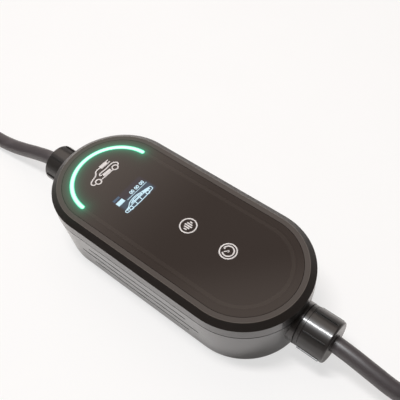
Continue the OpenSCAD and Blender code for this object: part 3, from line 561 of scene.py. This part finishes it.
class Shape(Graph):
    """A Geometry Nodes tree with named inputs, ending in realized geometry with a material."""

    def __init__(self, name, inputs):
        super().__init__(bpy.data.node_groups.new(name, "GeometryNodeTree"))
        face = self.tree.interface
        face.new_socket("Geometry", in_out="INPUT", socket_type="NodeSocketGeometry")
        self.ids = {}
        for label, kind in {**inputs, "Material": "NodeSocketMaterial"}.items():
            self.ids[label] = face.new_socket(label, in_out="INPUT", socket_type=kind).identifier
        face.new_socket("Geometry", in_out="OUTPUT", socket_type="NodeSocketGeometry")
        self.given = self.add("NodeGroupInput")

    def finish(self, geometry):
        real = self.add("GeometryNodeRealizeInstances", sockets=[geometry])
        dressed = self.add("GeometryNodeSetMaterial", sockets={
            "Geometry": real, "Material": self.given.output("Material")})
        self.add("NodeGroupOutput", sockets=[dressed])
        return self

    def made(self, name, base, **values):
        """The tree's result on a base object, as a plain mesh object of its own."""
        bpy.context.scene.collection.objects.link(base)
        modifier = base.modifiers.new(name, "NODES")
        modifier.node_group = self.tree
        for label, value in values.items():
            modifier[self.ids[label]] = value
        shaped = base.evaluated_get(bpy.context.evaluated_depsgraph_get())
        mesh = bpy.data.meshes.new_from_object(shaped)
        mesh.name = name
        old = base.data
        bpy.data.objects.remove(base)
        bpy.data.meshes.remove(old)
        piece = bpy.data.objects.new(name, mesh)
        bpy.context.scene.collection.objects.link(piece)
        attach(piece, "root")
        return piece


def cable_shape():
    """A round cable along a line, smooth and closed at its ends."""
    s = Shape("cable along a line", {"Radius": "NodeSocketFloat", "Sides": "NodeSocketInt"})
    curve = s.add("GeometryNodeMeshToCurve", sockets={"Mesh": s.given.output("Geometry")})
    ring = s.add("GeometryNodeCurvePrimitiveCircle", {"mode": "RADIUS"}, {
        "Resolution": s.given.output("Sides"), "Radius": s.given.output("Radius")})
    tube = s.add("GeometryNodeCurveToMesh", sockets={"Curve": curve, "Profile Curve": ring, "Fill Caps": True})
    return s.finish(s.add("GeometryNodeSetShadeSmooth", sockets={"Geometry": tube}))


def stroke_shape():
    """A flat raised line of a width and height along each edge chain."""
    s = Shape("flat line", {"Width": "NodeSocketFloat", "Height": "NodeSocketFloat"})
    curve = s.add("GeometryNodeMeshToCurve", sockets={"Mesh": s.given.output("Geometry")})
    level = s.add("GeometryNodeSetCurveNormal", {"mode": "Z_UP"}, {"Curve": curve})
    section = s.add("GeometryNodeCurvePrimitiveQuadrilateral", sockets={
        "Width": s.given.output("Width"), "Height": s.given.output("Height")})
    return s.finish(s.add("GeometryNodeCurveToMesh", sockets={
        "Curve": level, "Profile Curve": section, "Fill Caps": True}))


def circle(x, y, r, start=0.0, stop=360.0, steps=48):
    """Points on a circle or an arc of it at the height of the print, and whether it closes."""
    closed = stop - start >= 360
    count = steps if closed else steps + 1
    turn = [unit_deg(start + (stop - start) * i / steps) for i in range(count)]
    return [(x + r * c, y + r * s, FACE_Z + PRINT_LIFT) for c, s in turn], closed


def line(*points):
    """A straight or bent line at the height of the print."""
    return [(x, y, FACE_Z + PRINT_LIFT) for x, y in points], False


def bent(*points):
    """A smooth line through points at the height of the print."""
    return [tuple(p) for p in smooth([(x, y, FACE_Z + PRINT_LIFT) for x, y in points], 0.5)], False


def rounded_loop(half_w, half_h, r, spacing=3.0):
    """Points and outward directions round a rectangle with round corners, anticlockwise from its outer side."""
    corners = []
    for sx, sy, start in ((1, 1, 0), (-1, 1, 90), (-1, -1, 180), (1, -1, 270)):
        for k in range(7):
            out = unit_deg(start + 15 * k)
            corners.append((Vector((sx * (half_w - r) + r * out[0], sy * (half_h - r) + r * out[1])), Vector(out)))
    loop = []
    for (p, out), (q, after) in zip(corners, corners[1:] + corners[:1]):
        count = max(1, round((q - p).length / spacing))
        loop += [(p.lerp(q, i / count), out.lerp(after, i / count).normalized()) for i in range(count)]
    return loop


def band(rows, place, closed, verts, faces, maps):
    """Adds a woven band to the lists of a mesh. Each row is a point of its inner face, its outward direction, its
    half width and its thickness, and place turns a point of the band into one of the model."""
    across = [-1, -0.95, -0.85, -0.5, 0, 0.5, 0.85, 0.95, 1]
    ring = [(u, 1 - 0.6 * abs(u) ** 12) for u in across] + [(u, 0.0) for u in reversed(across)]
    first, n, m = len(verts), len(rows), len(ring)
    run, along = 0.0, []
    for (p, *_), (q, *_) in zip(rows, rows[1:] + rows[:1]):
        along.append(run)
        run += (q - p).length
    for point, out, half, thick in rows:
        verts += [place(point + out * (thick * lift), half * u) for u, lift in ring]
    for i in range(n if closed else n - 1):
        j = (i + 1) % n
        ends = along[i], along[j] if j else run
        for k in range(m):
            h = (k + 1) % m
            faces.append([first + i * m + k, first + i * m + h, first + j * m + h, first + j * m + k])
            maps.append([(ring[g][0] * rows[r][2], end) for r, g, end in
                         ((i, k, ends[0]), (i, h, ends[0]), (j, h, ends[1]), (j, k, ends[1]))])
    if not closed:
        for i in (0, n - 1):
            faces.append([first + i * m + k for k in range(m)])
            maps.append([(ring[k][0] * rows[i][2], along[i]) for k in range(m)])


def strap_rows():
    """Rows of a strap round the hank's section, and of its loose end on the outer side."""
    half_w, half_h = CABLE_D, 2 * CABLE_D
    loop = [(p, out, TIE_W / 2, TIE_T) for p, out in rounded_loop(half_w, half_h, CABLE_R)]
    end = []
    for k in range(15):
        t = k / 14
        lift = TIE_T * (0.2 + 0.85 * min(1.0, t * 5))
        half = (TIE_W / 2 - 0.6) * (1.0 if t < 0.9 else math.sqrt(max(0.05, 1 - ((t - 0.9) / 0.1) ** 2 * 0.75)))
        end.append((Vector((half_w + lift, -15 + 29 * t)), Vector((1, 0)), half, TIE_T * 0.8))
    return loop, end


def hank_straps(name, material):
    """Two woven straps, one round a straight run of the hank and one round its near fold."""
    middle = TURN_R
    high = TIE_T + 2 * CABLE_D

    def on_run(point, across):
        return Vector((HANK_X + middle + point.x, TIE_Y + across, high + point.y)) * MM

    def on_fold(point, across):
        turn = math.pi / 2 + across / middle
        r = middle + point.x
        return Vector((HANK_X + r * math.cos(turn), HANK_NEAR + r * math.sin(turn), high + point.y)) * MM

    verts, faces, maps = [], [], []
    loop, end = strap_rows()
    for place in (on_run, on_fold):
        band(loop, place, True, verts, faces, maps)
        band(end, place, False, verts, faces, maps)
    mesh = bpy.data.meshes.new(name)
    mesh.from_pydata(verts, [], faces)
    layer = mesh.uv_layers.new(name=WEAVE)
    for loop_uv, uv in zip(layer.data, [uv for face in maps for uv in face]):
        loop_uv.uv = (uv[0] * MM, uv[1] * MM)
    shape = bmesh.new()
    shape.from_mesh(mesh)
    bmesh.ops.recalc_face_normals(shape, faces=shape.faces)
    shape.to_mesh(mesh)
    shape.free()
    mesh.polygons.foreach_set("use_smooth", [True] * len(mesh.polygons))
    mesh.materials.append(material)
    piece = bpy.data.objects.new(name, mesh)
    bpy.context.scene.collection.objects.link(piece)
    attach(piece, "root")
    return piece


def grip_ridge(share):
    """A low ridge over the connector's grip, at a share of its bend."""
    c, d = unit_deg(GRIP_DEG * share)
    x, y = HANK_X - GRIP_R * (1 - c), CONN_Y - GRIP_R * d
    turns = [unit_deg(a) for a in range(35, 146, 5)]
    return [(x + GRIP_D / 2 * u * c, y - GRIP_D / 2 * u * d, CONN_Z + GRIP_D / 2 * v) for u, v in turns], False


def plug_ridge(side, along):
    """A low ridge on one side of the plug's body, at a distance behind its face."""
    start = 0.4 * PLUG_L
    r = PLUG_R - (PLUG_R - PLUG_WAIST) * (1 - math.cos(math.pi * max(0, along - start) / (PLUG_L - start))) / 2
    turns = [unit_deg(a) for a in range(-40, 41, 5)]
    return [(PLUG_X + side * r * u, PLUG_Y + along, PLUG_R + r * v) for u, v in turns], False


def nut_rib(side, k):
    """Crest line of one rib of a gland nut, at the supply end for side 1 and the vehicle end for side -1."""
    c, d = unit_deg(RIB_TURN + 360 / RIB_N * k)
    x, z = side * RIB_CREST * c, GLAND_H - RIB_CREST * d
    return [(x, side * y, z) for y in (RIB_FROM, RIB_TO)], False


def printed(name, lines, width, material, height=0.05):
    """A group of flat lines on the panel."""
    piece = stroke.made(name, polyline(name + "_lines", lines), Width=width * MM, Height=height * MM,
                        Material=material)


def wave_bars(x, y):
    """Upright bars of rising and falling length."""
    return [line((x + 1.55 * k, y - h), (x + 1.55 * k, y + h)) for k, h in
            ((-2, 1.1), (-1, 2.1), (0, 2.9), (1, 2.1), (2, 1.0))]


def dial(x, y, r, low, high):
    """An open ring with a barb at the low end of its gap."""
    c, d = unit_deg(low)
    return [circle(x, y, r, high, low + 360), line((x + r * c, y + r * d), (x + r * 0.7 * c + 0.4, y + r * 0.7 * d))]


def hand(x, y, r, angle):
    """A hand of a dial."""
    c, d = unit_deg(angle)
    return [line((x, y), (x + r * c, y + r * d))]


def car_symbol():
    """Side view of a car, with its cord rising from the front."""
    wheels = [(-8.0, 63.2), (8.2, 63.0)]
    front = bent((-10.4, 63.2), (-12.2, 63.6), (-12.8, 65.2), (-11.6, 66.8), (-9.4, 67.6), (-6.7, 68.2), (-4.7, 69.2),
                 (-3.2, 70.9), (-0.9, 71.6), (1.6, 71.2))
    roof = bent((10.6, 62.9), (12.0, 63.6), (12.2, 65.2), (11.2, 66.6), (9.2, 67.4), (6.6, 67.5), (2.3, 67.3),
                (-1.4, 67.6), (-3.0, 67.3), (-3.5, 66.2), (-2.4, 65.5))
    return [circle(*w, 2.1) for w in wheels] + [front, roof, line((-5.6, 62.9), (5.8, 62.6))]


def zero(x, y):
    """A tall rounded zero."""
    return [(x + 0.62 * c, y + 1.15 * d, FACE_Z + PRINT_LIFT) for c, d in
            [unit_deg(15 * k) for k in range(24)]], True


def at_car(*points):
    """Points of the small car's drawing, set in their place on the display."""
    return [(CAR_PLACE[0] + u, CAR_PLACE[1] + v) for u, v in points]


def small_car():
    """Outline of a long low car with its window, doors and wheels."""
    body = bent(*at_car((-12.6, -2.4), (-12.9, -0.7), (-9.0, 0.3), (-5.4, 2.4), (0.6, 3.1), (5.6, 2.0), (10.6, 0.9),
                        (12.8, 0.0), (12.6, -2.2)))
    sill = bent(*at_car((-12.6, -2.4), (-4.0, -2.9), (4.0, -2.9), (12.6, -2.2)))
    window = bent(*at_car((-5.6, 0.9), (-2.8, 2.0), (1.6, 2.1), (5.2, 1.0), (-5.6, 0.9)))
    belt = bent(*at_car((-10.4, -0.5), (-4.0, 0.0), (4.0, 0.1), (9.6, -0.3)))
    doors = [line(*at_car((u, 2.0), (u - 0.5, -2.7))) for u in (-2.6, 1.8)]
    wheels = [circle(*at_car((u, -1.7))[0], 1.35, steps=20) for u in (-8.2, 8.0)]
    return [body, sill, window, belt, *doors, *wheels]


def swept_floor(name):
    """A flat round floor that sweeps up far from the object."""
    around = [(k, (k + 1) % SWEEP_SIDES) for k in range(SWEEP_SIDES)]
    turns = [unit_deg(360 * k / SWEEP_SIDES) for k, _ in around]
    faces = [[k for k, _ in around]]
    for i in range(0, SWEEP_SIDES * (len(SWEEP) - 1), SWEEP_SIDES):
        faces += [[i + k, i + SWEEP_SIDES + k, i + SWEEP_SIDES + j, i + j] for k, j in around]
    mesh = bpy.data.meshes.new(name)
    mesh.from_pydata([(r * c, r * d, z) for r, z in SWEEP for c, d in turns], [], faces)
    mesh.polygons.foreach_set("use_smooth", [p.index > 0 for p in mesh.polygons])
    return mesh


def softbox(name, place, aim, width, length, power, colour=(1, 1, 1)):
    """An area lamp that faces a point."""
    lamp = bpy.data.lights.new(name, "AREA")
    lamp.shape = "RECTANGLE"
    lamp.size = width
    lamp.size_y = length
    lamp.energy = power
    lamp.color = colour
    o = bpy.data.objects.new(name, lamp)
    o.location = place
    o.rotation_mode = "QUATERNION"
    o.rotation_quaternion = (Vector(aim) - Vector(place)).to_track_quat("-Z", "Y")
    bpy.context.scene.collection.objects.link(o)
    return o


# Camera
eye = bpy.data.cameras.new("camera")
eye.sensor_width = SENSOR
eye.lens = FOCAL_PX / FRAME_PX * SENSOR
eye.clip_start = 0.01
camera = bpy.data.objects.new("camera", eye)
bpy.context.scene.collection.objects.link(camera)
axes = Matrix([RIGHT, [-v for v in DOWN], [-v for v in AHEAD]]).transposed()
camera.matrix_world = Matrix.Translation(Vector(EYE) * MM) @ axes.to_4x4()
bpy.context.scene.camera = camera

# Leads
sheath = rubber_cable()
cable = cable_shape()
supply_path = smooth(SUPPLY_ROUTE, 4)
supply_lead = cable.made("supply_lead", polyline("supply_line", [(supply_path, False)]),
                         Radius=CABLE_R * MM, Sides=24, Material=sheath)
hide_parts("supply_cable")
[p * MM for p in supply_path]
straps = hank_straps("hank_straps", woven_strap())
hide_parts("hank_ties")
vehicle_path = vehicle_line()
vehicle_lead = cable.made("vehicle_lead", polyline("vehicle_line", [(vehicle_path, False)]),
                          Radius=CABLE_R * MM, Sides=16, Material=sheath)
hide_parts("vehicle_cable", "vehicle_hank", "vehicle_tail")
[p * MM for p in vehicle_path]

# Finishes of the CAD nodes, by the record's slots
FINISHES = {
    "case_plastic": case_finish(),
    "panel_acrylic": panel_finish(),
    "seal_rubber": moulded("soft_seal", rgb(0.03, 0.03, 0.03), 0.7),
    "bond_tape": moulded("foam_tape", rgb(0.02, 0.02, 0.02), 0.8),
    "light_guide": lit("clear_light_guide", rgb(0.3, 0.9, 0.6), rgb(0.5, 1.0, 0.75), 0.6),
    "lamp": moulded("lamp_lens", rgb(0.8, 0.76, 0.5), 0.2),
    "display_glass": moulded("display_glass", rgb(0.008, 0.012, 0.03), 0.06, depth=0.002),
    "board": moulded("solder_mask", rgb(0.015, 0.09, 0.045), 0.35),
    "contact_foam": moulded("contact_foam", rgb(0.09, 0.09, 0.1), 0.85),
    "part_black": moulded("black_housing", rgb(0.015, 0.015, 0.016), 0.45),
    "part_grey": moulded("grey_housing", rgb(0.4, 0.4, 0.38), 0.45),
    "relay_blue": moulded("dark_blue_housing", rgb(0.03, 0.045, 0.11), 0.4),
    "core_green": moulded("coated_core", rgb(0.035, 0.06, 0.045), 0.5),
    "film_yellow": moulded("yellow_film_box", rgb(0.55, 0.4, 0.05), 0.35),
    "disc_blue": moulded("dipped_disc", rgb(0.03, 0.1, 0.34), 0.25),
    "terminal_green": moulded("green_terminal", rgb(0.06, 0.2, 0.07), 0.45),
    "core_brown": moulded("brown_core", rgb(0.16, 0.07, 0.03), 0.5),
    "core_blue": moulded("blue_core", rgb(0.03, 0.12, 0.34), 0.5),
    "screw_steel": metal("zinc_steel", rgb(0.56, 0.57, 0.58), 0.32),
    "gland_nylon": moulded("gland_nylon", rgb(0.022, 0.0195, 0.019), 0.32, 0.7, 0.003, 0.55, 0.4, 0.06),
    "cable_rubber": sheath,
    "tie_fabric": straps.data.materials[0],
    "plug_plastic": moulded("satin_moulded_rubber", rgb(0.016, 0.016, 0.018), 0.42),
    "pin_nickel": metal("nickel_plate", rgb(0.72, 0.69, 0.63), 0.18),
    "clip_brass": metal("sprung_brass", rgb(0.68, 0.52, 0.24), 0.26),
    "connector_plastic": moulded("connector_shell", rgb(0.018, 0.018, 0.02), 0.46, 0.6, 0.05),
    "cap_rubber": moulded("soft_cap", rgb(0.022, 0.022, 0.024), 0.6, 0.5, 0.03),
}
for part in frame["record"]["subparts"]:
    mesh = frame["nodes"][part["node"]].data
    mesh.materials.clear()
    mesh.materials.append(FINISHES[part["material_slot"]])

# Crests of the gland nuts' ribs, and ridges on the connector's grip and on the plug
crests = cable.made("nut_rib_crests", polyline("nut_rib_lines", [
    nut_rib(side, k) for side in (-1, 1) for k in range(RIB_N)]),
    Radius=RIB_CREST_R * MM, Sides=8, Material=moulded("rib_crest", rgb(0.02, 0.0195, 0.02), 0.5, 0.7, 0.002, 0.25))
ridges = cable.made("grip_ridges", polyline("grip_ridge_lines", [grip_ridge(0.38 + 0.048 * k) for k in range(6)]),
                    Radius=GRIP_RIDGE_R * MM, Sides=10, Material=FINISHES["connector_plastic"])
finger_ridges = cable.made("plug_ridges", polyline("plug_ridge_lines", [
    plug_ridge(side, 19 + 3.2 * k) for side in (-1, 1) for k in range(5)]),
    Radius=PLUG_RIDGE_R * MM, Sides=10, Material=FINISHES["plug_plastic"])

# Print and lit parts of the face
stroke = stroke_shape()
ink = printed_ink("pale_ink", rgb(0.78, 0.74, 0.73))
printed("key_rings", [circle(KEY_X, y, KEY_R) for y in KEY_YS], 0.95, ink)
printed("level_key", wave_bars(KEY_X, KEY_YS[0]), 1.0, ink)
printed("timer_key", dial(KEY_X, KEY_YS[1], 3.75, 87, 133), 0.95, ink)
printed("timer_key_hand", hand(KEY_X, KEY_YS[1], 2.7, 131), 0.75, ink)
printed("timer_key_hub", [circle(KEY_X, KEY_YS[1], 0.45, steps=16)], 0.9, ink)
printed("car_symbol", car_symbol(), 1.0, ink)
printed("car_symbol_door", [line((-2.0, 64.7), (4.9, 64.2))], 2.5, ink)
printed("plug_symbol", [line((1.6, 71.25), (8.0, 70.95))], 3.3, ink)
printed("plug_symbol_prongs", [line((8.0, y), (10.1, y)) for y in (69.85, 72.05)], 0.8, ink)

# Display: a dim label, a battery, zeros of a clock and a low car
dim = lit("display_dim", rgb(0.05, 0.08, 0.13), rgb(0.08, 0.12, 0.18), 1.0, 1.0)
pixels = lit("display_pixels", rgb(0.5, 0.76, 0.9), rgb(0.74, 0.93, 1.0), 1.0, 0.35)
printed("display_label", [line((-14.6, 42.3), (-9.0, 42.3))], 2.0, dim, 0.06)
printed("display_battery", [line((-14.9, 38.4), (-9.6, 38.4)), line((-9.7, 38.4), (-8.9, 38.4))], 3.4, pixels,
        0.06)
printed("display_clock", [zero(x, 38.4) for x in (-1.7, 0.1, 3.1, 4.9, 7.9, 9.7)], 0.55, pixels, 0.06)
printed("display_line", [line((-7.6, 36.0), (11.4, 36.0))], 0.35, pixels, 0.06)
printed("display_car", small_car(), 0.6, pixels, 0.06)
printed("display_car_panels", [line(*at_car((5.8, 0.9), (11.4, -0.3))), line(*at_car((-11.4, -0.8), (-10.4, -0.7)))],
        1.5, pixels, 0.06)

# Lit half ring with round ends
ring_light = lit_ring()
tip_x, tip_y = [ARC_R * v for v in unit_deg(ARC_TIP_DEG)]
printed("status_ring", [circle(0, ARC_Y, ARC_R, ARC_TIP_DEG, 180 - ARC_TIP_DEG, 72)], ARC_W, ring_light, 0.1)
printed("status_ring_ends", [circle(x, ARC_Y + tip_y, ARC_W / 4, steps=24) for x in (-tip_x, tip_x)], ARC_W / 2,
        ring_light, 0.1)

# Floor, light and world
floor = swept_floor("floor")
ground = bpy.data.objects.new("floor", floor)
bpy.context.scene.collection.objects.link(ground)
floor.materials.append(pale_floor())
strip = softbox("key", (-0.11, 0.18, 1.5), (0, 0, 0), 0.16, 0.64, 17.5, (0.97, 0.985, 1.0))
softbox("ceiling", (0.7, 0.72, 1.33), (0, 0, 0), 1.6, 1.6, 8, (1.0, 0.87, 0.78))

# The narrow lamp is kept off the flat top, which would mirror it as a white sheet to someone who looks straight down
shaded = bpy.data.collections.new("kept_from_key")
for node in ("front_panel", "upper_cover"):
    shaded.objects.link(frame["nodes"][node])
for item in shaded.collection_objects:
    item.light_linking.link_state = "EXCLUDE"
strip.light_linking.receiver_collection = shaded

world = bpy.data.worlds.new("studio")
bpy.context.scene.world = world
world.use_nodes = True
world.node_tree.nodes["Background"].inputs["Color"].default_value = rgb(1.0, 0.88, 0.76)
world.node_tree.nodes["Background"].inputs["Strength"].default_value = 0.14
bpy.context.scene.view_settings.view_transform = "Standard"
